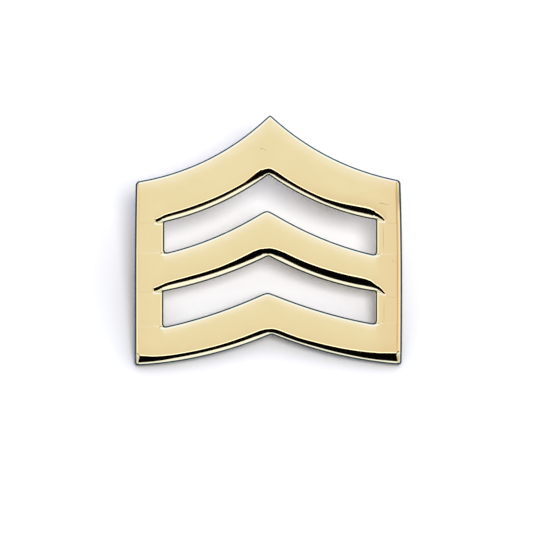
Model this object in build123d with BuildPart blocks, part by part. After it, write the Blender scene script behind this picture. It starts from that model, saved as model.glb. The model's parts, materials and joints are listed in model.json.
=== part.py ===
from build123d import *
from collections import namedtuple
from math import atan2, cos, sin
import os

os.makedirs("parts", exist_ok=True)

# Driving sizes in millimetres.
# Heights are measured up the badge from its two bottom corners, depths out from its flat back.
badge_width = 25.4
badge_height = 23.8
plate_thick = 1.6
rail_thick = 1.5
rail_width = {"left": 2.65, "right": 2.42}
arm_half_width = 10.18
top_corner_round = 0.35

# The curved edges of the chevrons, from the top down.
# Each edge is an arc that bellies downwards from its apex to the end of the arm.
ChevronEdge = namedtuple("ChevronEdge", "apex_height end_height end_half_width arc_radius apex_round")
crown_edge = ChevronEdge(23.91, 17.43, badge_width / 2, 23.8, 0.3)
upper_slot_top = ChevronEdge(18.22, 13.76, arm_half_width, 25.6, 0.15)
upper_slot_foot = ChevronEdge(14.85, 10.50, arm_half_width, 28.6, 0.8)
lower_slot_top = ChevronEdge(10.42, 6.90, arm_half_width, 38.0, 0.15)
lower_slot_foot = ChevronEdge(6.95, 3.86, arm_half_width, 40.0, 0.6)
foot_edge = ChevronEdge(2.96, 0.0, badge_width / 2, 38.3, 0.15)

# Where an arm meets a rail its edges bend level, and run so to the badge's side.
bend_round = 3.0

# How far the front edges are rounded over.
lower_roll = 0.65
outer_roll = 0.25
slot_end_roll = 0.45

# Each rail runs from the middle of the top chevron's end to the middle of the bottom one's.
rail_top = (crown_edge.end_height + upper_slot_top.end_height) / 2
rail_bottom = (lower_slot_foot.end_height + foot_edge.end_height) / 2

# The two posts on the back, each a flat head, a shank and a pointed tip.
post_half_spacing = 6.5
post_height = 17.05
post_length = 8.0
post_head_radius = 1.7
post_head_thick = 0.4
post_shank_radius = 0.55
post_tip_radius = 0.25
post_tip_length = 1.0

# Unpinned, the badge leans back on its two bottom corners and the tips of its posts.
# The origin is on the surface that it stands on, under the middle of its box.
lean_angle = atan2(post_length, post_height - post_tip_radius)
front_reach = (plate_thick - lower_roll) * sin(lean_angle) + lower_roll * (1 - cos(lean_angle))
back_reach = badge_height * cos(lean_angle)
badge_plane = Plane(
    origin=(0, (front_reach - back_reach) / 2, 0),
    x_dir=(1, 0, 0),
    z_dir=(0, -sin(lean_angle), cos(lean_angle)),
)
up_axis = Axis(badge_plane.origin, badge_plane.y_dir)
out_axis = Axis(badge_plane.origin, badge_plane.z_dir)


def draw_right_half(edge):
    """One chevron edge from its apex to the badge's right side, level across the rail."""
    apex = (0, edge.apex_height)
    end = (edge.end_half_width, edge.end_height)
    RadiusArc(apex, end, -edge.arc_radius)
    if edge.end_half_width < badge_width / 2:
        Line(end, (badge_width / 2, edge.end_height))


def round_corners(half_width, height, radius):
    """Round the outline's corner at one place and its mirror image."""
    for side in {half_width, -half_width}:
        corner = vertices().sort_by_distance((side, height))[0]
        fillet(corner, radius=radius)


def front_edge(body, x, height):
    """The edge of the front face nearest to one place on it."""
    place = badge_plane.from_local_coords((x, height, plate_thick))
    return body.edges().sort_by_distance(place)[0]


def chevron_body(upper, lower):
    """One chevron, whose lower front edge is rolled over much further than the others."""
    side = badge_width / 2
    with BuildPart() as body:
        with BuildSketch(badge_plane):
            with BuildLine():
                draw_right_half(upper)
                Line((side, upper.end_height), (side, lower.end_height))
                draw_right_half(lower)
                mirror(about=Plane.YZ)
            make_face()
            for edge in (upper, lower):
                round_corners(0, edge.apex_height, edge.apex_round)
                if edge.end_half_width < side:
                    round_corners(edge.end_half_width, edge.end_height, bend_round)
            if upper == crown_edge:
                round_corners(side, upper.end_height, top_corner_round)
        extrude(amount=plate_thick)
        # Each smooth run of edges is rolled over from one of its edges on.
        fillet(front_edge(body, 0, lower.apex_height), radius=lower_roll)
        fillet(front_edge(body, 0, upper.apex_height), radius=outer_roll)
        if upper != crown_edge:
            for side_x in (-side, side):
                side_edge = front_edge(body, side_x, (upper.end_height + lower.end_height) / 2)
                fillet(side_edge, radius=outer_roll)
    return body.part


def rail_body(width, side):
    """One upright rail, a little lower than the chevrons. side is -1 on the left, 1 on the right."""
    middle = side * (badge_width - width) / 2
    with BuildPart() as body:
        with BuildSketch(badge_plane):
            with Locations((middle, (rail_top + rail_bottom) / 2)):
                Rectangle(width, rail_top - rail_bottom)
        extrude(amount=rail_thick)
        side_lines = body.edges().group_by(out_axis)[-1].filter_by(up_axis).sort_by(Axis.X)
        outer = side_lines[-1] if side > 0 else side_lines[0]
        inner = side_lines[0] if side > 0 else side_lines[-1]
        fillet(outer, radius=outer_roll)
        fillet(inner, radius=slot_end_roll)
    return body.part


with BuildPart() as chevron_plate:
    add(chevron_body(crown_edge, upper_slot_top))
    add(chevron_body(upper_slot_foot, lower_slot_top))
    add(chevron_body(lower_slot_foot, foot_edge))
    add(rail_body(rail_width["left"], -1))
    add(rail_body(rail_width["right"], 1))
chevron_plate.part.label = "chevron_plate"
export_step(chevron_plate.part, "parts/chevron_plate.step")


def post_body(side):
    """One post standing straight out of the back. side is -1 on the left, 1 on the right."""
    foot = Plane(
        origin=badge_plane.from_local_coords((side * post_half_spacing, post_height, 0)),
        x_dir=(1, 0, 0),
        z_dir=-badge_plane.z_dir,
    )
    with BuildPart() as body:
        with BuildSketch(foot):
            Circle(post_head_radius)
        extrude(amount=post_head_thick)
        with BuildSketch(foot.offset(post_head_thick)):
            Circle(post_shank_radius)
        extrude(amount=post_length - post_head_thick - post_tip_length)
        with BuildSketch(foot.offset(post_length - post_tip_length)):
            Circle(post_shank_radius)
        with BuildSketch(foot.offset(post_length)):
            Circle(post_tip_radius)
        loft()
    return body.part


for name, side in (("post_left", -1), ("post_right", 1)):
    post = post_body(side)
    post.label = name
    export_step(post, f"parts/{name}.step")
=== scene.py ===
# %% [markdown]
# # A polished rank insignia
# This lesson dresses one small piece of uniform metalwork: three pointed chevrons joined by two upright
# rails, struck in brass, plated and polished like a mirror. Nearly everything the eye reads as "polished
# gold" here is a reflection, so the lesson spends its effort on two things: the exact slope of every
# rolled edge, and the studio that those slopes reflect.

# %% Load the frame
import json
from collections import namedtuple

import bpy
import numpy as np
from mathutils import Matrix, Vector
from mathutils.geometry import delaunay_2d_cdt
from mathutils.kdtree import KDTree


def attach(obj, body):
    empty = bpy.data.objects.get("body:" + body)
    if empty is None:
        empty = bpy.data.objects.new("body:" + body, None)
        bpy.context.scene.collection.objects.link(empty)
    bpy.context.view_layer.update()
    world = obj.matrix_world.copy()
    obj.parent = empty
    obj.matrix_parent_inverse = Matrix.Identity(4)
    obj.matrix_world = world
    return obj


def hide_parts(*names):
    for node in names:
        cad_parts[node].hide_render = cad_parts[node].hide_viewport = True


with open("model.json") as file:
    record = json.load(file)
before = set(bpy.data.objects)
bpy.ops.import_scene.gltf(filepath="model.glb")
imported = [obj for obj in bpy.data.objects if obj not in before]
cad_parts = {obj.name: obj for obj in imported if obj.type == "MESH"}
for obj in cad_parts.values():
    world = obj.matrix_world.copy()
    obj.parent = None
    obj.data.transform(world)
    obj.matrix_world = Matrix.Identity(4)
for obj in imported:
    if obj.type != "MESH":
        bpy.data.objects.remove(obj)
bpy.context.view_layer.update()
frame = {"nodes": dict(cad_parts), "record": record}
MM = 0.001

# %% [markdown]
# ## Where the badge stands
# Unpinned, the badge leans back on its two bottom corners and the tips of its two posts, so its face is
# not level. The posts' own axis tells how far it leans, and the solid's lowest and rearmost points tell
# where the back meets the floor. From then on everything is said in the badge's own directions:
# `across` it, `up` it and `out` of its face.

# %% The badge's own directions
record = frame["record"]
post_axis = Vector(record["mounts"][0]["axis"])
ACROSS = Vector((1, 0, 0))
OUT = -post_axis.normalized()
UP = OUT.cross(ACROSS)
plate_points = np.array([v.co for v in frame["nodes"]["chevron_plate"].data.vertices])
foot = (plate_points @ np.array(UP)).min()
back = (plate_points @ np.array(OUT)).min()
ORIGIN = UP * foot + OUT * back
BADGE = Matrix((ACROSS, UP, OUT)).transposed().to_4x4()
BADGE.translation = ORIGIN
lean = np.degrees(OUT.angle(Vector((0, 0, 1))))
print(f"the face leans back {lean:.1f} degrees from level")


def in_badge(points):
    """Points given in the frame's metres, in badge millimetres."""
    return (np.asarray(points) - np.array(ORIGIN)) @ np.array((ACROSS, UP, OUT)).T / MM


# %% [markdown]
# ## The drawing
# A die sinker starts from a drawing of the outline. Every chevron edge is two arcs that meet at an apex
# and belly down to the ends of the arms, where they bend level to cross the rails. The hand-cut die is
# not quite even, so each arm has its own numbers. `peak` is the height where the arc would cross the
# middle line and `end` its height at its reach, in millimetres up from the bottom corners. `blunt` rounds
# the apex. `sink` is how far the polished line drops where it runs out over the right rail.

# %% The six chevron edges
SIDE = 12.7  # half the width over the rails
ARM = 10.18  # how far out the slots' edges stay arcs
THICK = 1.6
LEVEL_BEND = 0.02  # how softly an arc turns level at the rail
SINK_START, SINK_RUN = 0.12, 1.7  # how far past the arm a line starts to sink, and over what length

Arm = namedtuple("Arm", "peak end radius")
Edge = namedtuple("Edge", "left right reach blunt sink", defaults=[0.0])
crown = Edge(Arm(23.66, 17.41, 23.2), Arm(24.00, 17.53, 24.4), SIDE, 0.09)
slot_1_top = Edge(Arm(18.08, 13.50, 26.4), Arm(18.14, 13.80, 24.6), ARM, 0.05, 0.38)
slot_1_foot = Edge(Arm(14.91, 10.55, 29.9), Arm(14.75, 10.45, 32.2), ARM, 0.20)
slot_2_top = Edge(Arm(10.33, 6.90, 38.9), Arm(10.36, 6.92, 30.2), ARM, 0.05, 0.56)
slot_2_foot = Edge(Arm(6.97, 3.52, 44.3), Arm(6.90, 3.86, 47.2), ARM, 0.12)
foot_edge = Edge(Arm(2.70, -0.16, 36.9), Arm(2.97, -0.09, 40.9), SIDE, 0.04)


def arm_height(arm, reach, out):
    """Height of one arm's arc at distances out from the middle line."""
    chord = np.hypot(reach, arm.peak - arm.end)
    rise = np.sqrt(arm.radius**2 - (chord / 2) ** 2)
    centre_out = reach / 2 + rise * (arm.peak - arm.end) / chord
    centre_up = (arm.peak + arm.end) / 2 + rise * reach / chord
    run = np.clip(out - centre_out, -0.999 * arm.radius, 0.999 * arm.radius)
    return centre_up - np.sqrt(arm.radius**2 - run**2)


def edge_height(edge, u):
    """Height of a chevron edge at places across the badge."""
    left = arm_height(edge.left, edge.reach, -np.asarray(u, float))
    right = arm_height(edge.right, edge.reach, np.asarray(u, float))
    both = (left + right) / 2 - np.sqrt(((left - right) / 2) ** 2 + edge.blunt**2)
    if edge.reach == SIDE:
        return both
    level = np.where(np.asarray(u) < 0, edge.left.end, edge.right.end) + LEVEL_BEND
    past = np.clip((np.asarray(u) - edge.reach - SINK_START) / SINK_RUN, 0, 1)
    sunk = edge.sink * past * past * (3 - 2 * past)
    turn = np.sqrt((both - level) ** 2 + 4 * LEVEL_BEND**2)
    return (both + level + turn) / 2 - LEVEL_BEND - sunk


EDGES = {"crown": crown, "slot 1 top": slot_1_top, "slot 1 foot": slot_1_foot,
         "slot 2 top": slot_2_top, "slot 2 foot": slot_2_foot, "foot": foot_edge}
for name, edge in EDGES.items():
    heights = edge_height(edge, np.array([-edge.reach, 0.0, edge.reach]))
    print(f"{name}: {heights[0]:.2f} left, {heights[1]:.2f} in the middle, {heights[2]:.2f} right")

# %% [markdown]
# ## Outlines as loops of points
# The press cuts the blank along one outer loop and two slot loops. Each loop is drawn with slightly
# rounded corners, then its points are spaced by a rule: a new one after so much length or so much turn,
# whichever comes first, so that corners get the points and straight runs do not.
#
# Past a slot's ends the polished band runs on over the rail and closes like a hook. `lip_run` and
# `dark_run` are how far its lip and its dark part reach, `taper` is the length of the tip, and `swell`
# is how much the dark part widens on the way, or narrows where it is negative.

# %% Slots and sides
Hook = namedtuple("Hook", "lip_run dark_run taper swell")
Slot = namedtuple("Slot", "top foot left right top_round foot_round left_hook right_hook")
slot_1 = Slot(slot_1_top, slot_1_foot, -9.93, 10.30, 0.14, 0.30,
              Hook(0.72, 0.95, 0.12, 0.40), Hook(0.70, 0.90, 0.14, -0.55))
slot_2 = Slot(slot_2_top, slot_2_foot, -10.02, 10.27, 0.12, 0.28,
              Hook(0.80, 1.03, 0.14, 0.30), Hook(0.70, 0.97, 0.14, -0.60))
SLOTS = [slot_1, slot_2]
BOW_AT = 8  # the height where both sides stand furthest out
LEFT_LINE, LEFT_LEAN = -12.755, 0.0011
RIGHT_LINE, RIGHT_BOW_LOW, RIGHT_BOW_HIGH = 12.81, 0.0006, 0.0018


def left_side(v):
    """The left side leans in a little towards the top."""
    return LEFT_LINE + LEFT_LEAN * np.maximum(v - BOW_AT, 0) ** 2


def right_side(v):
    """The right side bows out a little at mid height."""
    return RIGHT_LINE - np.where(v < BOW_AT, RIGHT_BOW_LOW, RIGHT_BOW_HIGH) * (v - BOW_AT) ** 2


# %% Loops with rounded corners
CROWD, CROWDING = 61, 4  # how many extra points a crowded stretch gets, and how tightly at the apex
END_RUN = 0.9  # length of the crowded stretch at each end
BOW_RUN = 1.2  # how far in from a side the points are moved onto its bowed line


def corner_drop(distance, radius):
    """How far a rounded corner has left the straight edge, this far from the upright side."""
    short = np.clip(radius - distance, 0, radius)
    return radius - np.sqrt(np.maximum(radius**2 - short**2, 0))


def dense_span(left, right, count=300):
    """Positions from left to right, crowded near both ends and near the middle."""
    ease = (1 - np.cos(np.linspace(0, np.pi, CROWD))) / 2
    ends = np.concatenate([left + ease * END_RUN, right - END_RUN + ease * END_RUN])
    middle = np.sinh(np.linspace(-CROWDING, CROWDING, CROWD)) / np.sinh(CROWDING)
    return np.unique(np.round(np.concatenate([np.linspace(left, right, count), ends, middle]), 5))


def closed_loop(top_edge, foot_line, left, right, top_round, foot_round):
    """A loop of points, clockwise: along the top to the right, then back along the foot."""
    u = dense_span(left, right)
    from_side = np.minimum(u - left, right - u)
    top = edge_height(top_edge, u) - corner_drop(from_side, top_round)
    low = edge_height(foot_line, u) + corner_drop(from_side, foot_round)
    return np.concatenate([np.column_stack([u, top]), np.column_stack([u, low])[::-1]])


def respace(loop, length=0.11, turn=np.radians(9)):
    """Walk a closed loop and keep a point after each stretch of length or turn."""
    around = np.vstack([loop, loop[:1]])
    steps = np.diff(around, axis=0)
    lengths = np.hypot(steps[:, 0], steps[:, 1])
    around, steps, lengths = around[:-1][lengths > 1e-7], steps[lengths > 1e-7], lengths[lengths > 1e-7]
    heading = np.unwrap(np.arctan2(steps[:, 1], steps[:, 0]))
    bend = np.abs(np.diff(heading, append=heading[0] + np.sign(heading[-1] - heading[0]) * 2 * np.pi))
    worth = lengths / length + (bend + np.roll(bend, 1)) / 2 / turn
    total = np.concatenate([[0], np.cumsum(worth)])
    travelled = np.concatenate([[0], np.cumsum(lengths)])
    count = int(np.ceil(total[-1]))
    wanted = np.interp(np.linspace(0, total[-1], count + 1)[:-1], total, travelled)
    closed_around = np.vstack([around, around[:1]])
    return np.column_stack([np.interp(wanted, travelled, closed_around[:, axis]) for axis in (0, 1)])


def bow_sides(loop):
    """Move the points near the two sides onto the bowed side lines."""
    u, v = loop.T
    near = np.clip((np.abs(u) - SIDE + BOW_RUN) / BOW_RUN, 0, 1)
    near = near * near * (3 - 2 * near)
    target = np.where(u < 0, left_side(v) + SIDE, right_side(v) - SIDE)
    return np.column_stack([u + near * target, v])


outline = bow_sides(respace(closed_loop(crown, foot_edge, -SIDE, SIDE, 0.35, 0.32)))
slot_loops = []
for slot in SLOTS:
    rounded = closed_loop(slot.top, slot.foot, slot.left, slot.right, slot.top_round, slot.foot_round)
    slot_loops.append(respace(rounded))
LOOPS = [outline] + slot_loops
print("points round the outline and the slots:", [len(loop) for loop in LOOPS])

# %% [markdown]
# ## How a rolled edge falls away
# After striking, the buffing wheel rolls each edge over. What matters in a mirror is slope, not depth: a
# slope of 10 degrees looks at one part of the studio, 30 degrees at another. So each roll is written as
# slopes at a few distances from the edge, with straight lines of slope between them, and the depth is
# the exact integral of their tangents.

# %% Depth from slopes
def roll_depth(distance, stations):
    """Depth under the face at a distance from the edge. stations: (distance, slope in degrees)."""
    depth = np.zeros_like(distance)
    for (near, near_slope), (far, far_slope) in zip(stations, stations[1:]):
        start, end = np.radians(near_slope), np.radians(far_slope)
        x = np.clip(distance, near, far)
        if np.all(near_slope == far_slope):
            depth += (far - x) * np.tan(start)
            continue
        bend = (end - start) / np.maximum(far - near, 1e-6)
        slope_here = start + bend * (x - near)
        depth += (np.log(np.cos(slope_here)) - np.log(np.cos(end))) / bend
    first_distance, first_slope = stations[0]
    return depth + np.maximum(first_distance - distance, 0) * np.tan(np.radians(first_slope))


# %% [markdown]
# ## The wide roll under each chevron
# The lower edge of every chevron is rolled widely. Two widths describe it at each place: the bright lip
# next to the edge, steep enough to mirror the table, and the dark band above the lip, which mirrors the
# unlit side of the room. Hand polishing makes both wander along the arm, so each chevron has a short
# table of places across the badge and the two distances there.

# %% Roll widths read from the photograph
Roll = namedtuple("Roll", "across lip dark_top")
TOP_ROLL = [Roll(-9.95, 0.38, 0.649), Roll(-9.6, 0.47, 0.691), Roll(-9.0, 0.507, 0.728),
            Roll(-6.5, 0.50, 0.742), Roll(-5.0, 0.509, 0.722), Roll(-2.6, 0.529, 0.687),
            Roll(-1.9, 0.511, 0.682), Roll(-1.3, 0.486, 0.766), Roll(-0.7, 0.391, 0.851),
            Roll(-0.3, 0.254, 0.844), Roll(0.0, 0.206, 0.649), Roll(0.5, 0.388, 0.696),
            Roll(1.8, 0.442, 0.658), Roll(4.0, 0.435, 0.624), Roll(5.2, 0.355, 0.648),
            Roll(6.8, 0.359, 0.762), Roll(8.0, 0.402, 0.888), Roll(9.1, 0.43, 0.955),
            Roll(9.6, 0.435, 0.923), Roll(10.0, 0.341, 0.803), Roll(10.3, 0.29, 0.647)]
MIDDLE_ROLL = [Roll(-10.05, 0.383, 0.68), Roll(-9.5, 0.528, 0.793), Roll(-8.6, 0.551, 0.848),
               Roll(-7.3, 0.536, 0.87), Roll(-4.4, 0.519, 0.858), Roll(-3.0, 0.495, 0.925),
               Roll(-1.9, 0.47, 0.99), Roll(-1.0, 0.448, 1.046), Roll(-0.4, 0.399, 0.973),
               Roll(0.0, 0.242, 0.798), Roll(0.4, 0.352, 0.932), Roll(1.2, 0.501, 1.037),
               Roll(1.7, 0.495, 1.024), Roll(3.2, 0.432, 1.015), Roll(5.0, 0.409, 1.04),
               Roll(7.0, 0.398, 1.076), Roll(8.5, 0.404, 1.107), Roll(9.1, 0.416, 1.08),
               Roll(9.7, 0.394, 0.965), Roll(10.27, 0.267, 0.614)]
BOTTOM_ROLL = [Roll(-12.5, 0.251, 0.973), Roll(-11.8, 0.251, 0.893), Roll(-11.0, 0.261, 0.771),
               Roll(-10.0, 0.295, 0.716), Roll(-8.9, 0.353, 0.696), Roll(-7.4, 0.387, 0.694),
               Roll(-4.5, 0.394, 0.698), Roll(-2.0, 0.399, 0.741), Roll(-1.2, 0.404, 0.758),
               Roll(-0.5, 0.366, 0.764), Roll(0.0, 0.326, 0.681), Roll(0.3, 0.197, 0.572),
               Roll(0.9, 0.253, 0.641), Roll(2.7, 0.245, 0.601), Roll(4.4, 0.27, 0.672),
               Roll(7.0, 0.262, 0.748), Roll(9.0, 0.234, 0.837), Roll(10.5, 0.236, 0.925),
               Roll(11.4, 0.262, 1.024), Roll(12.5, 0.272, 1.134)]


def roll_widths(table, u, slot):
    """Lip and dark-band distances at places across the badge, closed in beyond the slot's ends."""
    places = [row.across for row in table]
    lip = np.interp(u, places, [row.lip for row in table])
    dark = np.interp(u, places, [row.dark_top for row in table]) - lip
    if slot:
        for beyond, hook in ((slot.left - u, slot.left_hook), (u - slot.right, slot.right_hook)):
            lip = lip * np.clip(1 - beyond / hook.lip_run, 0, 1) ** 0.9
            dark = dark * (1 + hook.swell * np.clip(beyond / hook.dark_run, 0, 1))
            dark = dark * np.clip((hook.dark_run - beyond) / hook.taper, 0, 1)
    return lip, lip + dark


# %% [markdown]
# ## One height for every point of the face
# The face is a height field: for any point of the drawing the depth below the flat is worked out from
# its distances to the edges around it. Where two rolls meet at a corner their depths are blended with a
# power mean, which leaves a soft mitre instead of a knife line.
#
# The narrow edges have slopes of their own. The crown falls away at once, while the edge under a slot
# keeps a faint slope well into the face. The sides are rolled wider on the right than on the left, and
# the two bottom corners are worn steeper than the rest.

# %% Distances to the drawn lines
def nearest_on(points, line):
    """Distance from each point to a line of points, and where across the badge it was met."""
    start, step = line[:-1], np.diff(line, axis=0)
    square = (step**2).sum(1)
    best = np.full(len(points), np.inf)
    met = np.zeros(len(points))
    for block in range(0, len(points), 1500):
        part = points[block:block + 1500, None, :] - start[None]
        share = np.clip((part * step).sum(2) / square, 0, 1)
        gap = part - share[..., None] * step
        far = (gap**2).sum(2)
        pick = far.argmin(1)
        rows = np.arange(len(pick))
        best[block:block + 1500] = np.sqrt(far[rows, pick])
        met[block:block + 1500] = start[pick, 0] + share[rows, pick] * step[pick, 0]
    return best, met


across_line = dense_span(-SIDE, SIDE)


def drawn(edge):
    """A chevron edge as a line of points."""
    return np.column_stack([across_line, edge_height(edge, across_line)])


def closed(loop):
    """A loop with its first point repeated at the end."""
    return np.vstack([loop, loop[:1]])


# %% Slopes of the narrow edges
Band = namedtuple("Band", "upper lower roll ease_left ease_right slot_above slot_below")
BANDS = [Band(crown, slot_1_top, TOP_ROLL, 1.2, 3.6, None, slot_1),
         Band(slot_1_foot, slot_2_top, MIDDLE_ROLL, 1.2, 1.3, slot_1, slot_2),
         Band(slot_2_foot, foot_edge, BOTTOM_ROLL, 1.2, 1.3, slot_2, None)]
CROWN_SLOPES = [(0.0, 66), (0.07, 44), (0.24, 8), (0.31, 2.0), (1.5, 0)]
SLOT_FOOT_SLOPES = [(0.0, 66), (0.07, 44), (0.24, 8), (0.31, 2.8), (0.48, 2.6), (0.67, 1.8), (0.95, 1.3),
                    (1.2, 0.8), (1.6, 0)]
SIDE_SLOPES = [(0.0, 66), (0.10, 46), (0.22, 28), (0.28, 18), (0.42, 7), (0.50, 0)]
CORNER_SLOPES = [(0.0, 15), (0.10, 35), (0.36, 48), (0.42, 40), (0.50, 0)]
SLOT_END_SLOPES = [(0.0, 62), (0.08, 42), (0.27, 25), (0.30, 1.2), (0.60, 1.2), (0.64, 6), (0.70, 0)]
EDGE_SLOPE, LIP_SLOPE, HORIZON_SLOPE, DARK_SLOPE = 60, 42, 32.3, 10.2
LIP_START = 0.22  # share of the lip that is steeper than LIP_SLOPE
EASE_RUN, FLAT_RUN = 0.15, 1.5  # how far above the dark band the slope has eased, and ended
TURN_IN = 0.1  # shortens both runs where a band is narrow
HAIR = 2e-4  # keeps two stations from falling together
EDGE_SLACK = 0.004
RAIL_STEP = 0.004
FADE_BELOW, FADE_ABOVE = 0.045, 0.06  # how fast a rail takes over below and above a chevron
# Pairs are for the left and the right half.
SIDE_STRETCH, CORNER_STRETCH, CORNER_TOP = (0.92, 1.2), (1.1, 1.28), (0.98, 1.18)
CORNER_FADE, CORNER_DEEPER = 0.3, 0.3


# %% Depth under the flat of the chevrons
def wide_roll(distance, met, band):
    """Depth of the wide roll at a distance from a chevron's lower edge."""
    lip, dark_top = roll_widths(band.roll, met, band.slot_below)
    lip, dark_top = lip + HAIR, dark_top + 2 * HAIR
    turn_in = dark_top / (dark_top + TURN_IN)
    ease = np.interp(met, [1, 7], [band.ease_left, band.ease_right])
    stations = [(0 * lip, EDGE_SLOPE), (lip * LIP_START, LIP_SLOPE), (lip, HORIZON_SLOPE),
                (dark_top, DARK_SLOPE), (dark_top + EASE_RUN * turn_in, ease),
                (dark_top + FLAT_RUN * turn_in, 0)]
    return roll_depth(distance, stations)


def past_slot(u, slot, run=0.5):
    """1 beside a slot, fading to 0 a little way past its ends."""
    if slot is None:
        return np.ones_like(u)
    return np.clip(1 - np.maximum(slot.left - u, u - slot.right) / run, 0, 1)


def slack_at(u, slot):
    """A hair of give at a cut edge, and none where a chevron runs into a rail."""
    return np.where(past_slot(u, slot) >= 1, EDGE_SLACK, 0)


def by_side(u, pair):
    """The pair's first value on the left half of the badge, its second on the right half."""
    return np.where(u > 0, pair[1], pair[0])


def depth_below_face(points):
    """How far the surface lies under the flat of the chevrons, in millimetres."""
    u, v = points.T
    from_side = np.minimum(u - left_side(v), right_side(v) - u)
    near_foot = np.clip((by_side(u, CORNER_TOP) - v) / CORNER_FADE, 0, 1)
    near_foot = near_foot * near_foot * (3 - 2 * near_foot) * (1 + CORNER_DEEPER * np.clip(1 - v, 0, 1))
    wide = by_side(u, SIDE_STRETCH)
    corner = by_side(u, CORNER_STRETCH)
    total = wide * roll_depth(from_side / wide, SIDE_SLOPES)
    total = (total + near_foot * corner * roll_depth(from_side / corner, CORNER_SLOPES)) ** 4
    for band in BANDS:
        top, low = edge_height(band.upper, u), edge_height(band.lower, u)
        inside = (v <= top + slack_at(u, band.slot_above)) & (v >= low - slack_at(u, band.slot_below))
        here = points[inside]
        distance, met = nearest_on(here, drawn(band.lower))
        total[inside] += wide_roll(distance, met, band) ** 4
        distance, met = nearest_on(here, drawn(band.upper))
        slopes = SLOT_FOOT_SLOPES if band.slot_above else CROWN_SLOPES
        total[inside] += (roll_depth(distance, slopes) * past_slot(met, band.slot_above) ** 2) ** 4
    for above, below, slot, loop in zip(BANDS, BANDS[1:], SLOTS, slot_loops):
        ceiling, floor_line = edge_height(above.lower, u), edge_height(below.upper, u)
        slack = slack_at(u, slot)
        rail = (v < ceiling - slack) & (v > floor_line + slack)
        zero = np.zeros(rail.sum())
        distance, met = nearest_on(points[rail], closed(loop))
        bevel = roll_depth(distance, SLOT_END_SLOPES) + RAIL_STEP
        at_ceiling = wide_roll(zero, u[rail], above)
        at_floor = roll_depth(zero, SLOT_FOOT_SLOPES) * past_slot(u[rail], slot) ** 2
        near_top = np.exp(-(ceiling - v)[rail] / FADE_BELOW)
        near_low = np.exp(-(v - floor_line)[rail] / FADE_ABOVE)
        total[rail] += (bevel + (at_ceiling - bevel) * near_top + (at_floor - bevel) * near_low) ** 4
    return np.maximum(total, 0) ** 0.25


middle_line = np.column_stack([np.zeros(5), edge_height(slot_1_top, 0) + np.array([0, 0.1, 0.3, 0.5, 0.8])])
print("depths above the first slot's apex:", np.round(depth_below_face(middle_line), 3))

# %% [markdown]
# ## Points where the surface bends
# A flat mirror needs hardly any points, and a rolled edge needs rows of them. Rows are laid inside each
# loop at rising distances, by stepping off every loop point along its normal. A stepped point that has
# come nearer to some other stretch of edge is dropped, which trims the rows at inner corners.

# %% Rows of points along the edges
ROW_DISTANCES = [0.02, 0.045, 0.07, 0.10, 0.13, 0.165, 0.20, 0.235, 0.27, 0.31, 0.35, 0.40, 0.45, 0.50, 0.55,
                 0.60, 0.66, 0.72, 0.78, 0.84, 0.90, 0.97, 1.05, 1.15, 1.3, 1.5, 1.75]
edge_tree = KDTree(sum(len(loop) for loop in LOOPS))
for index, point in enumerate(np.concatenate(LOOPS).tolist()):
    edge_tree.insert((*point, 0), index)
edge_tree.balance()


def clear_of_edges(points):
    """Distance from each point to the nearest loop point."""
    return np.array([edge_tree.find((*point, 0))[2] for point in points.tolist()])


def normals_into_metal(loop, inward):
    """Unit normals of a closed clockwise loop, pointing into the metal."""
    along = np.roll(loop, -1, axis=0) - np.roll(loop, 1, axis=0)
    along /= np.hypot(along[:, 0], along[:, 1])[:, None]
    side = np.column_stack([along[:, 1], -along[:, 0]])
    return side if inward else -side


loop_normals = [normals_into_metal(loop, loop is outline) for loop in LOOPS]
rows = []
for loop, normals in zip(LOOPS, loop_normals):
    for distance in ROW_DISTANCES:
        stepped = loop + normals * distance
        rows.append(stepped[clear_of_edges(stepped) > distance - 0.004])
print("row points:", sum(len(row) for row in rows))


# %% Lines across the rails and a light scatter over the flats
RAIL_OFFSETS = [-0.30, -0.16, -0.10, -0.055, -0.03, -0.012, 0.0, 0.02, 0.05, 0.10, 0.16, 0.30, 0.42, 0.55,
                0.70]
RAIL_MARGIN = 0.03
SPACING = 0.5  # of the lattice over the flats


def rail_rows():
    """Short rows that follow the step between chevron and rail."""
    found = []
    for slot in SLOTS:
        for edge in (slot.top, slot.foot):
            for left, right in ((-SIDE + RAIL_MARGIN, slot.left), (slot.right, SIDE - RAIL_MARGIN)):
                u = np.linspace(left, right, 50)
                for offset in RAIL_OFFSETS:
                    found.append(np.column_stack([u, edge_height(edge, u) + offset]))
    return np.concatenate(found)


def scatter():
    """A loose lattice over the whole drawing, for the flats."""
    u, v = np.meshgrid(np.arange(-SIDE, SIDE, SPACING), np.arange(0, 24, SPACING))
    shifted = u + SPACING / 2 * (np.round(v / SPACING) % 2)
    return np.column_stack([shifted.ravel(), v.ravel()])


def on_metal(points):
    """True for points on metal, by counting how often a ray to the right crosses each loop."""
    inside = np.zeros((len(LOOPS), len(points)), bool)
    for index, loop in enumerate(LOOPS):
        x0, y0 = loop.T
        x1, y1 = np.roll(loop, -1, axis=0).T
        slant = (x1 - x0) / np.where(y1 == y0, 1, y1 - y0)
        for block in range(0, len(points), 3000):
            px, py = (c[:, None] for c in points[block:block + 3000].T)
            crosses = ((y0 > py) != (y1 > py)) & (px < slant * (py - y0) + x0)
            inside[index, block:block + 3000] = crosses.sum(1) % 2 == 1
    return inside[0] & ~inside[1] & ~inside[2]


step_rows = rail_rows()
step_rows = step_rows[on_metal(step_rows)]
step_rows = step_rows[clear_of_edges(step_rows) > 0.02]
lattice = scatter()
lattice = lattice[on_metal(lattice)]
lattice = lattice[clear_of_edges(lattice) > 1.9]
print("step points:", len(step_rows), "lattice points:", len(lattice))

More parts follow.
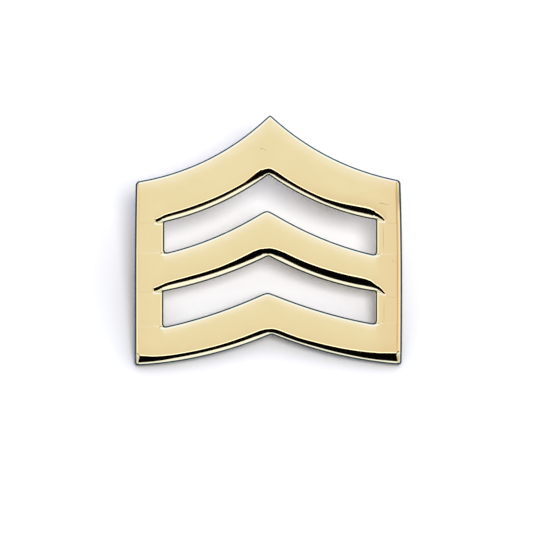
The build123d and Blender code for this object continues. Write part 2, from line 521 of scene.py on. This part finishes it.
# %% [markdown]
# ## Triangles, heights and a closed solid
# A constrained Delaunay triangulation joins the points without crossing any outline. The front gets its
# heights, the back stays flat, and a wall joins them, so the piece is one closed body like the real
# struck plate.

# %% Triangulate the drawing
def triangulate(extra):
    """Triangles over the metal from the loops and extra points, and each point's place in the loops."""
    points = np.concatenate(LOOPS + extra)
    edges, start = [], 0
    for loop in LOOPS:
        count = len(loop)
        edges += [(start + i, start + (i + 1) % count) for i in range(count)]
        start += count
    found = delaunay_2d_cdt([Vector(point) for point in points.tolist()], edges, [], 0, 1e-6)
    flat_points, triangles = np.array([tuple(point) for point in found[0]]), np.array(found[2])
    place = np.array([source[0] if source else start for source in found[3]])
    return flat_points, triangles[on_metal(flat_points[triangles].mean(1))], place


face_flat, face_triangles, face_place = triangulate(rows + [step_rows, lattice])
rim_count = sum(len(loop) for loop in LOOPS)
rim_at = np.full(rim_count, -1)
on_rim = face_place < rim_count
rim_at[face_place[on_rim]] = np.flatnonzero(on_rim)
print("front triangles:", len(face_triangles), "rim points:", rim_count, "unplaced:", (rim_at < 0).sum())

# %% Heights and exact normals of the front
TINY = 0.006
into_metal = np.zeros_like(face_flat)
into_metal[rim_at] = np.concatenate(loop_normals)
probe = face_flat + into_metal * 2 * TINY
slope_u = depth_below_face(probe - (TINY, 0)) - depth_below_face(probe + (TINY, 0))
slope_v = depth_below_face(probe - (0, TINY)) - depth_below_face(probe + (0, TINY))
front_normals = np.column_stack([-slope_u, -slope_v, np.full(len(probe), 2 * TINY)])
front_normals /= np.linalg.norm(front_normals, axis=1)[:, None]
face_height = THICK - depth_below_face(face_flat)
print(f"front heights {face_height.min():.2f} to {face_height.max():.2f} mm")

# %% Back, wall and mesh
back_flat, back_triangles, back_place = triangulate([])
assert len(back_flat) == rim_count, "the back has a point that is not on a loop"
count = len(face_flat)
front_points = np.column_stack([face_flat, face_height])
back_points = np.column_stack([np.concatenate(LOOPS), np.zeros(rim_count)])
back_faces = back_place[back_triangles][:, ::-1] + count
walls, wall_normals, start = [], [], 0
outward = np.column_stack([-np.concatenate(loop_normals), np.zeros(rim_count)])
for loop in LOOPS:
    here = start + np.arange(len(loop))
    after = start + (np.arange(len(loop)) + 1) % len(loop)
    quad = np.column_stack([rim_at[here], rim_at[after], after + count, here + count])
    walls.append(quad)
    wall_normals.append(np.stack([outward[here], outward[after], outward[after], outward[here]], axis=1))
    start += len(loop)
walls, wall_normals = np.concatenate(walls), np.concatenate(wall_normals)


def build_mesh(name, points_mm, faces, place=BADGE):
    """A mesh from points in millimetres, placed where the badge stands."""
    mesh = bpy.data.meshes.new(name)
    mesh.from_pydata((np.asarray(points_mm) * MM).tolist(), [], [list(map(int, face)) for face in faces])
    mesh.transform(place)
    mesh.update()
    piece = bpy.data.objects.new(name, mesh)
    bpy.context.scene.collection.objects.link(piece)
    return piece


plate = build_mesh("struck_plate", np.concatenate([front_points, back_points]),
                   [*face_triangles, *walls, *back_faces])
corner_normals = np.concatenate([front_normals[face_triangles].reshape(-1, 3), wall_normals.reshape(-1, 3),
                                 np.tile((0.0, 0.0, -1.0), (len(back_faces) * 3, 1))])
plate.data.shade_smooth()
plate.data.normals_split_custom_set((corner_normals @ np.array((ACROSS, UP, OUT))).tolist())
BACK_GAP = 1.2  # far enough from 0 at the back rim to keep the painted dark rim line off the wall
gap_from_edge = np.concatenate([clear_of_edges(face_flat), np.full(rim_count, BACK_GAP)])
gap_from_edge[:count][rim_at] = 0
plate.data.attributes.new("edge_gap", "FLOAT", "POINT").data.foreach_set("value", gap_from_edge)
LIP_FROM, LIP_RANGE = 0.35, 0.15  # how steeply down a lip looks before it gets the painted highlight
SIDE_FROM, SIDE_RANGE, SIDE_SHARE = 0.45, 0.2, 0.6
# Lips that face down and sides that face sideways get paler gold: a painted highlight that whitens what they
# mirror.
down, aside = -front_normals[:, 1], np.abs(front_normals[:, 0])
highlight_on_lips = np.clip((down - LIP_FROM) / LIP_RANGE, 0, 1)
highlight_on_sides = SIDE_SHARE * np.clip((aside - SIDE_FROM) / SIDE_RANGE, 0, 1)
lip_highlight = np.concatenate([np.maximum(highlight_on_lips, highlight_on_sides), np.zeros(rim_count)])
plate.data.attributes.new("lip_highlight", "FLOAT", "POINT").data.foreach_set("value", lip_highlight)
triangle_count = len(face_triangles) + 2 * len(walls) + len(back_faces)
print("plate faces:", len(plate.data.polygons), "triangles:", triangle_count)

# %% [markdown]
# ## The posts
# Two brass pins are soldered to the back and go through the cloth. Each is turned on a lathe: a round
# head that takes the solder, a shank with a shallow groove where a clutch bites, and a point. A turned
# form is a profile spun round, so the mesh repeats one row of radii round a circle.

# %% Turn the posts
Turn = namedtuple("Turn", "depth radius")
HEAD, SHANK, LENGTH = 1.7, 0.55, 8.0
PROFILE = [Turn(0.0, 0.0), Turn(0.0, HEAD - 0.02), Turn(0.03, HEAD), Turn(0.28, HEAD),
           Turn(0.36, HEAD - 0.04), Turn(0.40, HEAD - 0.14), Turn(0.41, 1.0), Turn(0.44, 0.80),
           Turn(0.52, 0.66), Turn(0.66, 0.575), Turn(0.85, SHANK), Turn(5.55, SHANK),
           Turn(5.63, SHANK - 0.04), Turn(5.72, SHANK - 0.075), Turn(5.98, SHANK - 0.075),
           Turn(6.07, SHANK - 0.04), Turn(6.15, SHANK), Turn(6.94, SHANK), Turn(7.06, SHANK - 0.015),
           Turn(7.50, 0.41), Turn(7.86, 0.295), Turn(7.96, 0.22), Turn(LENGTH, 0.10), Turn(LENGTH, 0.0)]
ROUND = 64


def turned_post(name, centre_mm):
    """A lathe-turned post that hangs from the back at a place on the badge."""
    angles = np.linspace(0, 2 * np.pi, ROUND, endpoint=False)
    points = [np.array([[0, 0, 0]])]
    for turn in PROFILE[1:-1]:
        ring = np.column_stack([turn.radius * np.cos(angles), turn.radius * np.sin(angles),
                                np.full(ROUND, -turn.depth)])
        points.append(ring)
    points.append(np.array([[0, 0, -LENGTH]]))
    ring_starts = [1 + ROUND * i for i in range(len(PROFILE) - 2)]
    last = 1 + ROUND * (len(PROFILE) - 2)
    faces = []
    for i in range(ROUND):
        j = (i + 1) % ROUND
        faces.append((0, ring_starts[0] + i, ring_starts[0] + j))
        faces.append((last, ring_starts[-1] + j, ring_starts[-1] + i))
        for above, below in zip(ring_starts, ring_starts[1:]):
            faces.append((above + i, below + i, below + j, above + j))
    piece = build_mesh(name, np.concatenate(points) + np.array(centre_mm), faces)
    piece.data.shade_smooth()
    piece.data.set_sharp_from_angle(angle=np.radians(50))
    return piece


posts = []
for mount in record["mounts"]:
    middle = in_badge(np.array([mount["pos_m"]]))[0]
    side = "left" if middle[0] < 0 else "right"
    post = turned_post(f"turned_post_{side}", (middle[0], middle[1], 0.0))
    posts.append((post, f"post_{side}"))
    print(post.name, "stands at", np.round(middle[:2], 2), "mm")

# %% [markdown]
# ## Wires for shader sums
# Node trees are easier to read as sums. `Wire` holds one socket and turns +, -, *, ** and abs into Math
# nodes. Any other node comes from `add`, which takes its type, its settings and what goes into its
# sockets.

# %% A socket that does arithmetic
class Wire:
    """One output socket. Wire(tree) alone is only a place to add the first node from."""

    def __init__(self, tree, socket=None):
        self.tree = tree
        self.socket = socket

    def add(self, kind, settings=None, sockets=None, take=0):
        """Add a node of a type, set it up, then give its sockets their values or links."""
        node = self.tree.nodes.new(kind)
        for name, value in (settings or {}).items():
            if name == "stops":
                stops = node.color_ramp.elements
                for place, colour in value[2:]:
                    stops.new(place)
                for stop, (place, colour) in zip(stops, value):
                    stop.position, stop.color = place, (*colour, 1)
            else:
                setattr(node, name, value)
        for name, value in (sockets or {}).items():
            if isinstance(value, Wire):
                self.tree.links.new(value.socket, node.inputs[name])
            else:
                node.inputs[name].default_value = value
        return Wire(self.tree, node.outputs[take]) if len(node.outputs) else None

    def sum(self, operation, *values):
        return self.add("ShaderNodeMath", {"operation": operation}, dict(enumerate(values)))

    def __add__(self, other):
        return self.sum("ADD", self, other)

    def __radd__(self, other):
        return self.sum("ADD", other, self)

    def __sub__(self, other):
        return self.sum("SUBTRACT", self, other)

    def __rsub__(self, other):
        return self.sum("SUBTRACT", other, self)

    def __mul__(self, other):
        return self.sum("MULTIPLY", self, other)

    def __rmul__(self, other):
        return self.sum("MULTIPLY", other, self)

    def __pow__(self, other):
        return self.sum("POWER", self, other)

    def __abs__(self):
        return self.sum("ABSOLUTE", self)

    def rise(self, low, high):
        """0 below low, 1 above high, an eased ramp between. High below low makes it fall."""
        return self.add("ShaderNodeMapRange", {"interpolation_type": "SMOOTHSTEP"},
                        {"Value": self, "From Min": low, "From Max": high, "To Min": 0.0, "To Max": 1.0})

    def parts(self):
        """The x, y and z of a vector."""
        split = self.add("ShaderNodeSeparateXYZ", None, {0: self}).socket.node
        return [Wire(self.tree, output) for output in split.outputs]

    def tint(self, first, second):
        """This value's mix from a first colour to a second."""
        mixed = self.add("ShaderNodeMix", {"data_type": "RGBA"}, {0: self}, 2)
        for index, colour in ((6, first), (7, second)):
            if isinstance(colour, Wire):
                self.tree.links.new(colour.socket, mixed.socket.node.inputs[index])
            else:
                mixed.socket.node.inputs[index].default_value = (*colour, 1)
        return mixed


def new_finish(name):
    """An empty material, and a place to add its nodes from."""
    material = bpy.data.materials.new(name)
    material.use_nodes = True
    material.node_tree.nodes.clear()
    return material, Wire(material.node_tree)


# %% [markdown]
# ## Polished gold plate
# Gold over brass, polished to a mirror. Pale gold reflects nearly all red and green and under half of the
# blue. Five things keep it from looking computer-made: faint waves left by the buff, which make
# reflections swim a little; a breath of haze in the roughness; a few brown marks, some of them handling
# stains and some painted shade that copies dark reflections; paler gold on the lips and sides, a painted
# highlight; and a hair-thin painted dark line of shade along the sharp cut edge of the front. The mesh
# carries the last two as values on its points: the highlight and `edge_gap`.

# %% Coordinates and marks
def badge_place(bench):
    """Badge coordinates in millimetres, from the object's own coordinates."""
    settings = {"vector_type": "TEXTURE"}
    sockets = {"Vector": bench.add("ShaderNodeTexCoord", None, None, 3), "Location": ORIGIN,
               "Rotation": BADGE.to_euler(), "Scale": (MM, MM, MM)}
    return bench.add("ShaderNodeMapping", settings, sockets)


def soft_mark(place, u, v, turn, long, wide):
    """A soft oval mark at a place on the badge: 1 in its middle, 0 outside."""
    settings = {"vector_type": "TEXTURE"}
    sockets = {"Vector": place, "Location": (u, v, THICK), "Rotation": (0, 0, np.radians(turn)),
               "Scale": (long, wide, 1.0)}
    local = place.add("ShaderNodeMapping", settings, sockets)
    far = place.add("ShaderNodeVectorMath", {"operation": "LENGTH"}, {0: local}, 1)
    return far.rise(1.0, 0.25)


# Soft brown marks: some are handling stains, others are painted shade that copies the dark reflections along
# the right side near the top and in the creases just past the right ends of the slots.
SoftMark = namedtuple("SoftMark", "u v turn long wide strength")
STAINS_AND_SHADE_MARKS = [SoftMark(-0.62, 20.56, 12, 0.28, 0.08, 0.45), SoftMark(-0.30, 20.44, -38, 0.24, 0.07, 0.35),
          SoftMark(10.86, 15.34, -7, 0.42, 0.09, 0.45), SoftMark(11.30, 15.22, 2, 0.36, 0.10, 0.25),
          SoftMark(11.92, 9.84, 0, 0.10, 0.10, 0.30), SoftMark(10.90, 4.06, 0, 0.10, 0.08, 0.30),
          SoftMark(11.00, 12.05, 90, 1.75, 0.075, 0.30), SoftMark(11.06, 4.95, 90, 1.65, 0.075, 0.22),
          SoftMark(12.52, 16.0, 89, 1.7, 0.30, 0.50), SoftMark(-12.36, 15.14, 80, 0.12, 0.06, 0.35),
          SoftMark(-12.40, 2.10, 80, 0.12, 0.06, 0.30), SoftMark(12.44, 0.50, 90, 0.75, 0.24, 0.60),
          SoftMark(-12.42, 0.40, 90, 0.60, 0.16, 0.35)]


# %% Gold plate
GOLD, GOLD_CLOUDS = (0.840, 0.708, 0.400), (0.852, 0.722, 0.414)
# The second colour is the paler gold of the painted highlight on the lips and sides.
RAIL_GOLD, HIGHLIGHT_GOLD = (0.83, 0.64, 0.35), (0.92, 0.87, 0.60)
# The first colour browns both the stains and the painted shade marks.
# The second colour is a painted dark line of shade along the cut edge.
STAIN_AND_SHADE_BROWN, RIM_SHADE_DARK = (0.30, 0.17, 0.06), (0.020, 0.058, 0.064)
LINE_OUT, LINE_FULL = 0.150, 0.115  # millimetres from the edge where the painted dark rim line ends and is full
LINE_WIDER = 0.045  # how much wider it is along the two sides


def gold_plate(name):
    """Mirror gold with its waves, haze, stains and painted shade marks, painted lip highlight and painted
    dark rim line.
    """
    material, bench = new_finish(name)
    place = badge_place(bench)
    u = place.parts()[0]
    cloud = bench.add("ShaderNodeTexNoise", None, {"Vector": place, "Scale": 0.35, "Detail": 3.0})
    fine = bench.add("ShaderNodeTexNoise", None, {"Vector": place, "Scale": 5.0, "Detail": 4.0})
    brushed = bench.add("ShaderNodeMapping", None,
                        {"Vector": place, "Rotation": (0, 0, 0.6), "Scale": (1, 14, 1)})
    hair = bench.add("ShaderNodeTexNoise", None, {"Vector": brushed, "Scale": 2.2, "Detail": 5.0})
    colour = cloud.rise(0.38, 0.66).tint(GOLD, GOLD_CLOUDS)
    colour = (0.65 * u.rise(9.3, 11.8) + 0.25 * u.rise(-10.5, -12.3)).tint(colour, RAIL_GOLD)
    stains_and_shade = 0.0
    for mark in STAINS_AND_SHADE_MARKS:
        stains_and_shade = mark.strength * soft_mark(place, *mark[:5]) + stains_and_shade
    gap = bench.add("ShaderNodeAttribute", {"attribute_name": "edge_gap"}, None, "Fac")
    lip_highlight = bench.add("ShaderNodeAttribute", {"attribute_name": "lip_highlight"}, None, "Fac")
    # Painted highlight: paler gold on the lips and sides.
    colour = lip_highlight.tint(colour, HIGHLIGHT_GOLD)
    # Brown marks: handling stains, and painted shade along the right side and in the rail creases.
    colour = stains_and_shade.tint(colour, STAIN_AND_SHADE_BROWN)
    # A hair-thin painted dark line of shade along the front's cut edge.
    line = (gap - LINE_WIDER * abs(u).rise(12.25, 12.45)).rise(LINE_OUT, LINE_FULL)
    colour = line.tint(colour, RIM_SHADE_DARK)
    rough = 0.045 + 0.03 * fine.rise(0.4, 0.75) + 0.02 * hair.rise(0.55, 0.8) + 0.3 * stains_and_shade + 0.35 * line
    waves = bench.add("ShaderNodeTexNoise", None, {"Vector": place, "Scale": 0.6, "Detail": 1.0})
    bump = bench.add("ShaderNodeBump", None, {"Strength": 0.3, "Distance": 0.00002, "Height": waves})
    metal = bench.add("ShaderNodeBsdfPrincipled", None,
                      {"Base Color": colour, "Metallic": 1.0, "Roughness": rough, "Normal": bump})
    bench.add("ShaderNodeOutputMaterial", None, {"Surface": metal})
    return material


gold = gold_plate("polished_gold_plate")
plate.data.materials.append(gold)


# %% Post metal
def post_metal(name):
    """Plain turned brass with fine turning rings."""
    material, bench = new_finish(name)
    place = badge_place(bench)
    rings = bench.add("ShaderNodeMapping", None, {"Vector": place, "Scale": (0.4, 0.4, 16)})
    turning = bench.add("ShaderNodeTexNoise", None, {"Vector": rings, "Scale": 2.0, "Detail": 3.0})
    dull = bench.add("ShaderNodeTexNoise", None, {"Vector": place, "Scale": 1.4, "Detail": 4.0})
    colour = dull.rise(0.4, 0.7).tint((0.74, 0.57, 0.28), (0.62, 0.45, 0.21))
    rough = 0.20 + 0.12 * turning + 0.10 * dull.rise(0.45, 0.7)
    bump = bench.add("ShaderNodeBump", None, {"Strength": 0.4, "Distance": 0.00001, "Height": turning})
    metal = bench.add("ShaderNodeBsdfPrincipled", None,
                      {"Base Color": colour, "Metallic": 1.0, "Roughness": rough, "Normal": bump})
    bench.add("ShaderNodeOutputMaterial", None, {"Surface": metal})
    return material


post_finish = post_metal("turned_brass")
for post, node in posts:
    post.data.materials.append(post_finish)

# %% [markdown]
# ## The table
# A sheet of smooth white paper on the table. It shows only as white and as a soft shadow, but the lips
# of the rolled edges mirror it too, so it needs its true brightness. Where the badge comes close to the
# paper, light is cut off. An ambient occlusion node measures that and darkens the paper, and it reaches
# further beside the badge than below it.

# %% White paper
REACH, REACH_BESIDE = 0.0035, 0.0045  # metres the contact shadow looks, and how much more at the sides
CONTACT_COLOUR, CONTACT_POWER = (0.08, 0.08, 0.085), 0.5


def paper_finish(name):
    """Matt white paper that darkens close to the badge."""
    material, bench = new_finish(name)
    place = bench.add("ShaderNodeTexCoord", None, None, 3)
    tooth = bench.add("ShaderNodeTexNoise", None, {"Vector": place, "Scale": 4000.0, "Detail": 3.0})
    colour = tooth.tint((0.90, 0.90, 0.91), (0.92, 0.92, 0.92))
    beside = abs(place.parts()[0]).rise(0.0122, 0.0128)
    reach = REACH + REACH_BESIDE * beside
    close = bench.add("ShaderNodeAmbientOcclusion", {"samples": 16}, {"Distance": reach}, "AO")
    colour = (close ** CONTACT_POWER).tint(CONTACT_COLOUR, colour)
    bump = bench.add("ShaderNodeBump", None, {"Strength": 0.2, "Distance": 0.00002, "Height": tooth})
    sheet = bench.add("ShaderNodeBsdfPrincipled", None,
                      {"Base Color": colour, "Roughness": 0.9, "Normal": bump})
    bench.add("ShaderNodeOutputMaterial", None, {"Surface": sheet})
    return material


HALF_SHEET = 150
sheet_corners = [(HALF_SHEET * x, HALF_SHEET * y, 0) for x, y in ((-1, -1), (1, -1), (1, 1), (-1, 1))]
table = build_mesh("white_paper", sheet_corners, [(0, 1, 2, 3)], Matrix.Identity(4))
table.data.materials.append(paper_finish("white_paper"))

# %% [markdown]
# ## The studio as the metal sees it
# A mirror has no colour of its own to show: it shows the room. The world is therefore painted for the
# metal, by direction. Ahead of the badge a wide pale screen fills the flat faces. It warms a little
# downwards, turns cooler high up, and ends in a brighter strip. Below the strip the room is unlit, and
# the rolled lower edges mirror that as their black bands. A bright screen behind and overhead gives the
# upper edges their white line. Two wings at the sides light the rolled sides, two dim tan patches ahead
# left and right tone the ends of the slots, and a warm skirting lies just under the horizon. Rays that
# don't come from the metal's own mirroring meet one plain soft light.

# %% Paint the room by direction
TO_DEGREES = 180 / np.pi
STRIP_GAIN, BEHIND_GAIN, WINGS_GAIN = 0.9, 0.8, 0.15
UNLIT_LOSS, SKIRTING_LOSS = 0.998, 0.8
PLAIN_COLOUR, PLAIN_LIGHT, PLAIN_LOSS = (0.70, 0.76, 1.20, 1), 0.19, 0.85
CAMERA_LIGHT = 0.85  # added where the camera looks past everything


def studio_world():
    """A painted room for the metal's mirror rays and a plain light for all other rays."""
    world = bpy.data.worlds.new("studio")
    world.use_nodes = True
    world.node_tree.nodes.clear()
    bench = Wire(world.node_tree)
    x, y, z = bench.add("ShaderNodeTexCoord").parts()
    elevation = z.sum("ARCSINE", z) * TO_DEGREES
    azimuth = y.sum("ARCTAN2", abs(x), 0 - y) * TO_DEGREES
    ahead = azimuth.rise(60, 52)
    unlit = ahead * elevation.rise(45, 43) * elevation.rise(-0.8, 0.2)
    strip = ahead * elevation.rise(43, 45) * elevation.rise(56, 51)
    warm = ahead * elevation.rise(66, 57) * elevation.rise(49, 53)
    pale = elevation.rise(66.2, 70.5)
    behind = y.rise(-0.32, -0.12) * abs(x).rise(0.85, 0.60)
    wings = abs(x).rise(0.62, 0.78) * z.rise(-0.05, 0.05)
    right_dim = x.rise(0.14, 0.26) * x.rise(0.70, 0.50) * y.rise(-0.1, -0.2) * z.rise(0.4, 0.55)
    left_dim = x.rise(-0.14, -0.26) * x.rise(-0.70, -0.50) * y.rise(-0.1, -0.2) * z.rise(0.4, 0.55)
    skirting = elevation.rise(-0.1, -0.6) * elevation.rise(-6, -4)
    light = 1 + STRIP_GAIN * strip + BEHIND_GAIN * behind + WINGS_GAIN * wings
    light = light * (1 - UNLIT_LOSS * unlit) * (1 - SKIRTING_LOSS * skirting)
    seen = warm.tint((1.0, 1.0, 1.0), (0.91, 0.85, 0.79))
    seen = pale.tint(seen, (1.08, 1.14, 1.42))
    seen = strip.tint(seen, (1.0, 1.04, 1.16))
    seen = behind.tint(seen, (0.62, 0.75, 1.15))
    seen = right_dim.tint(seen, (0.74, 0.58, 0.44))
    seen = (0.35 * left_dim).tint(seen, (0.74, 0.62, 0.50))
    seen = wings.tint(seen, (1.0, 1.03, 1.08))
    seen = skirting.tint(seen, (1.0, 0.55, 0.30))
    room = bench.add("ShaderNodeBackground", None, {"Color": seen, "Strength": light})
    rays = bench.add("ShaderNodeLightPath", None, None, "Is Camera Ray")
    glossy = Wire(rays.tree, rays.socket.node.outputs["Is Glossy Ray"])
    bounced = Wire(rays.tree, rays.socket.node.outputs["Diffuse Depth"])
    direct = glossy * bounced.rise(0.9, 0.1)
    plain = PLAIN_LIGHT * (1 - PLAIN_LOSS * glossy) + CAMERA_LIGHT * rays
    fill = bench.add("ShaderNodeBackground", None, {"Color": PLAIN_COLOUR, "Strength": plain})
    both = bench.add("ShaderNodeMixShader", None, {0: direct, 1: fill, 2: room})
    bench.add("ShaderNodeOutputWorld", None, {"Surface": both})
    world.cycles.sampling_method = "NONE"
    return world


bpy.context.scene.world = studio_world()

# %% [markdown]
# ## Two soft lights for the shadow
# The shadow falls a little to the lower left and is soft over more than a millimetre, so its main light
# is a wide disc a few degrees up and right of the camera. A second disc, far wider and weaker and higher
# up on the right, softens the rest. Both are hidden from the metal, which has its own room.

# %% Two disc lights
MIDDLE = (-0.16, 9.31, 1.5)  # the point the lights and the camera aim at, in badge millimetres


def world_point(u, v, w):
    """A point in badge millimetres, in the scene's metres."""
    return BADGE @ (Vector((u, v, w)) * MM)


def facing(direction, up_hint):
    """Rotation that looks along a direction."""
    back_axis = -direction.normalized()
    right = up_hint.cross(back_axis).normalized()
    return Matrix((right, back_axis.cross(right), back_axis)).transposed().to_4x4()


def disc_light(name, radiance, half_angle, rightward, upward):
    """A wide disc a metre away, so many degrees right of and above the badge's own straight ahead."""
    light = bpy.data.lights.new(name, "AREA")
    light.shape = "DISK"
    light.size = 2 * np.tan(np.radians(half_angle))
    light.energy = np.pi * (np.pi * light.size**2 / 4) * radiance
    lamp = bpy.data.objects.new(name, light)
    bpy.context.scene.collection.objects.link(lamp)
    aim = (OUT + ACROSS * np.tan(np.radians(rightward)) + UP * np.tan(np.radians(upward))).normalized()
    lamp.matrix_world = facing(-aim, UP)
    lamp.matrix_world.translation = world_point(*MIDDLE) + aim
    lamp.visible_glossy = False
    lamp.visible_camera = False
    print(name, round(light.energy, 1), "W")


disc_light("soft_key", radiance=22.6, half_angle=10.5, rightward=6.5, upward=5.5)
disc_light("broad_fill", radiance=0.87, half_angle=42.0, rightward=20.0, upward=26.0)

# %% [markdown]
# ## The camera
# The badge is seen squarely, so the camera looks straight at its face from 0.45 metres with a long
# lens. The picture is 50.9 mm wide at the badge.

# %% Camera
camera_data = bpy.data.cameras.new("camera")
SENSOR = 36
CAMERA_DISTANCE = 0.45
VIEW_WIDTH = 0.0509
camera_data.sensor_width = SENSOR
camera_data.lens = SENSOR * CAMERA_DISTANCE / VIEW_WIDTH
camera_data.clip_start = 0.01
camera = bpy.data.objects.new("camera", camera_data)
bpy.context.scene.collection.objects.link(camera)
camera.matrix_world = facing(-OUT, UP)
camera.matrix_world.translation = world_point(*MIDDLE) + OUT * CAMERA_DISTANCE
bpy.context.scene.camera = camera
bpy.context.scene.view_settings.view_transform = "Standard"
print("lens:", round(camera_data.lens), "mm")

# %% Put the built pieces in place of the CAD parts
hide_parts("chevron_plate")
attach(plate, "root")
for post, node in posts:
    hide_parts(node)
    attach(post, "root")
